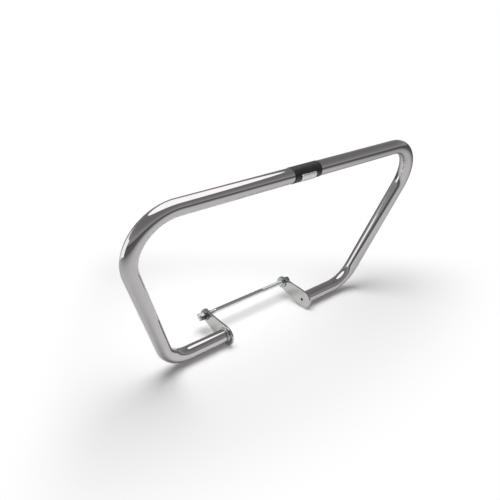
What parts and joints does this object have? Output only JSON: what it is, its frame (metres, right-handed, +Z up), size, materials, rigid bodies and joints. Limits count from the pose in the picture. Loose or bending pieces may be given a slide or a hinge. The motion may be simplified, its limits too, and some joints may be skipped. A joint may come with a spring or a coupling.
{
  "type": "motorcycle crash bars",
  "caption": "Polished steel crash bar: one tube bent into a forward-leaning trapezoid loop, welded to two drilled plates that a long through rod bolts to the engine mount.",
  "frame": {"origin": "middle of the through rod's axis, half way between the plates, where the motorcycle's engine mount holds it", "axes": "+X along the rod, to the right as seen from the front, which is the rider's left; -Y forward and +Z up, as fitted; the loop leans forward of the rod. Left and right in the names are as seen from the front"},
  "size_m": [0.8026, 0.214, 0.4156],
  "materials": {
    "tube_steel": "polished",
    "plate_steel": "satin",
    "weld_steel": "polished weld ripples",
    "zinc_steel": "bright zinc plated",
    "spring_steel": "zinc plated",
    "sleeve_black": "satin black",
    "badge_metal": "satin"
  },
  "bodies": {
    "root": {"main_tube": "tube_steel", "left_plate": "plate_steel", "right_plate": "plate_steel", "left_weld_bead": "weld_steel", "right_weld_bead": "weld_steel", "through_rod": "zinc_steel", "left_outer_nut": "zinc_steel", "right_outer_nut": "zinc_steel", "left_spring_washer": "spring_steel", "right_spring_washer": "spring_steel", "left_outer_washer": "zinc_steel", "right_outer_washer": "zinc_steel", "left_spacer_washer": "zinc_steel", "right_spacer_washer": "zinc_steel", "top_sleeve": "sleeve_black", "badge_plate": "badge_metal"}
  },
  "joints": []
}
